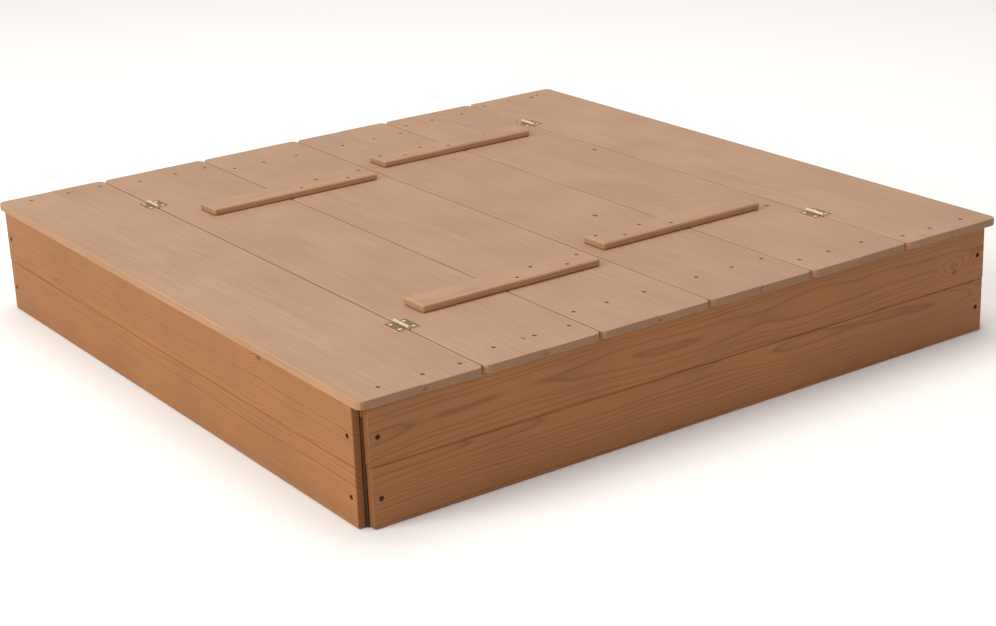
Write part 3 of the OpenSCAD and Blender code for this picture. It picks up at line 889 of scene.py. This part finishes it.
class SANDPIT_OT_walls(bpy.types.Operator):
    """Cuts the eight tongue-and-groove boards of the walls"""

    bl_idname = "sandpit.walls"
    bl_label = "Walls"

    def execute(self, context):
        boards = context.scene.sandpit_boards
        pairs = [(f"{side}_lower_board", f"{side}_upper_board") for side in ENDS + SIDES]
        finish = wood_finish(context, "walls")
        cut_boards(context, pairs, boards.square_corner, boards.wall_arris, finish)
        return {"FINISHED"}


class SANDPIT_OT_posts(bpy.types.Operator):
    """Cuts the four corner posts"""

    bl_idname = "sandpit.posts"
    bl_label = "Corner Posts"

    def execute(self, context):
        boards = context.scene.sandpit_boards
        posts = [(f"{end}_{side}_post",) for end in ENDS for side in SIDES]
        finish = wood_finish(context, "posts")
        cut_boards(context, posts, boards.square_corner, boards.strip_arris, finish)
        return {"FINISHED"}


class SANDPIT_OT_lid(bpy.types.Operator):
    """Cuts the twelve boards of the six lid panels"""

    bl_idname = "sandpit.lid"
    bl_label = "Lid Boards"

    def execute(self, context):
        boards = context.scene.sandpit_boards
        pairs = [(f"{side}_{panel}_outer_board", f"{side}_{panel}_inner_board")
                 for side in SIDES for panel in ("fixed", "seat", "rest")]
        finish = wood_finish(context, "lid")
        cut_boards(context, pairs, boards.panel_corner, boards.lid_arris, finish)
        return {"FINISHED"}


class SANDPIT_OT_battens(bpy.types.Operator):
    """Cuts the four battens on the backrests"""

    bl_idname = "sandpit.battens"
    bl_label = "Battens"

    def execute(self, context):
        boards = context.scene.sandpit_boards
        battens = [(f"{side}_rest_{end}_batten",) for side in SIDES for end in ENDS]
        finish = wood_finish(context, "battens")
        cut_boards(context, battens, boards.batten_corner, boards.batten_arris, finish)
        return {"FINISHED"}


class SANDPIT_OT_cleats(bpy.types.Operator):
    """Cuts the twelve cleats under the lid"""

    bl_idname = "sandpit.cleats"
    bl_label = "Cleats"

    def execute(self, context):
        boards = context.scene.sandpit_boards
        cleats = [(f"{side}_{panel}_{end}_cleat",)
                  for side in SIDES for panel in ("fixed", "seat", "rest") for end in ENDS]
        finish = wood_finish(context, "cleats")
        cut_boards(context, cleats, boards.square_corner, boards.strip_arris, finish)
        return {"FINISHED"}


class SANDPIT_OT_hinges(bpy.types.Operator):
    """Finishes the leaves and pins of the eight hinges"""

    bl_idname = "sandpit.hinges"
    bl_label = "Hinges"

    def execute(self, context):
        metal = context.scene.sandpit_metal
        # The leaves' finish: a plate darkened as a painted reflection, with a painted highlight on the
        # knuckles and edges
        finishes = {"_leaves": material("yellow-passivated zinc, pressed leaves", plated_metal,
                                        metal.hinge, 0.3, 0.6, metal.knuckle_highlight),
                    "_pins": material("bright zinc, drawn pins", plated_metal, metal.pin, 0.28, 0.6)}
        for node in sorted(frame["nodes"]):
            for ending, finish in finishes.items():
                if node.endswith(ending):
                    thing = frame["nodes"][node]
                    thing.data.materials.clear()
                    thing.data.materials.append(finish)
        return {"FINISHED"}


class SANDPIT_OT_screws(bpy.types.Operator):
    """Drives every screw, with its cross recess and thread"""

    bl_idname = "sandpit.screws"
    bl_label = "Screws"

    def execute(self, context):
        metal = context.scene.sandpit_metal
        # The small screws' near-white, part-metallic finish is a painted glint
        finishes = {"Small Finish": material("yellow-passivated zinc, rolled screws", plated_metal,
                                             metal.hinge_screw_and_glint, 0.26, 0.45),
                    "Medium Finish": material("stained-over bronze coat, rolled screws", plated_metal,
                                              metal.lid_screw, 0.6),
                    "Large Finish": material("bronze-coated steel, rolled screws", plated_metal,
                                             metal.wood_screw, 0.5)}
        head, shank = screw_head(), lathe("screw_shank", shank_outline(), SHANK_STEPS)
        nodes = [node for node in sorted(frame["nodes"]) if node.endswith("screws")]
        for seed, node in enumerate(nodes):
            screws = [Screw(group) for group in islands(frame["nodes"][node].data)]
            host = screw_points(f"{node}_points", screws, seed)
            modifier = host.modifiers.new("Screw set", "NODES")
            modifier.node_group = tree_of("Screw set", screw_tree)
            for key, value in {"Head": head, "Shank": shank, "Small Girth": SMALL_GIRTH,
                               "Medium Girth": MEDIUM_GIRTH, **finishes}.items():
                set_input(modifier, key, value)
            hand_over(smooth(bake(host, f"{node}_driven")), node)
        for template in (head, shank):
            bpy.data.objects.remove(template)
        return {"FINISHED"}


class SANDPIT_PT_panel(bpy.types.Panel):
    """Sizes, colours and making steps of the sandpit"""

    bl_label = "Lidded Sandpit"
    bl_idname = "SANDPIT_PT_panel"
    bl_space_type = "VIEW_3D"
    bl_region_type = "UI"
    bl_category = "Sandpit"

    def draw(self, context):
        for title, group in (("Boards", "sandpit_boards"), ("Wood", "sandpit_wood"),
                             ("Metal", "sandpit_metal"), ("Stage", "sandpit_stage")):
            box = self.layout.box()
            box.label(text=title)
            settings = getattr(context.scene, group)
            for name in settings.__annotations__:
                box.prop(settings, name)
        for operator in OPERATORS:
            self.layout.operator(operator.bl_idname)


OPERATORS = (SANDPIT_OT_stage, SANDPIT_OT_walls, SANDPIT_OT_posts, SANDPIT_OT_lid, SANDPIT_OT_battens,
             SANDPIT_OT_cleats, SANDPIT_OT_hinges, SANDPIT_OT_screws)
GROUPS = {"sandpit_boards": SandpitBoards, "sandpit_wood": SandpitWood, "sandpit_metal": SandpitMetal,
          "sandpit_stage": SandpitStage}


def register():
    for cls in (*GROUPS.values(), *OPERATORS, SANDPIT_PT_panel):
        bpy.utils.register_class(cls)
    for name, group in GROUPS.items():
        setattr(bpy.types.Scene, name, PointerProperty(type=group))


def unregister():
    for name in GROUPS:
        delattr(bpy.types.Scene, name)
    for cls in (SANDPIT_PT_panel, *reversed(OPERATORS), *reversed(GROUPS.values())):
        bpy.utils.unregister_class(cls)


def main():
    register()
    for operator in OPERATORS:
        getattr(bpy.ops.sandpit, operator.bl_idname.split(".")[1])()


if __name__ == "__main__":
    main()
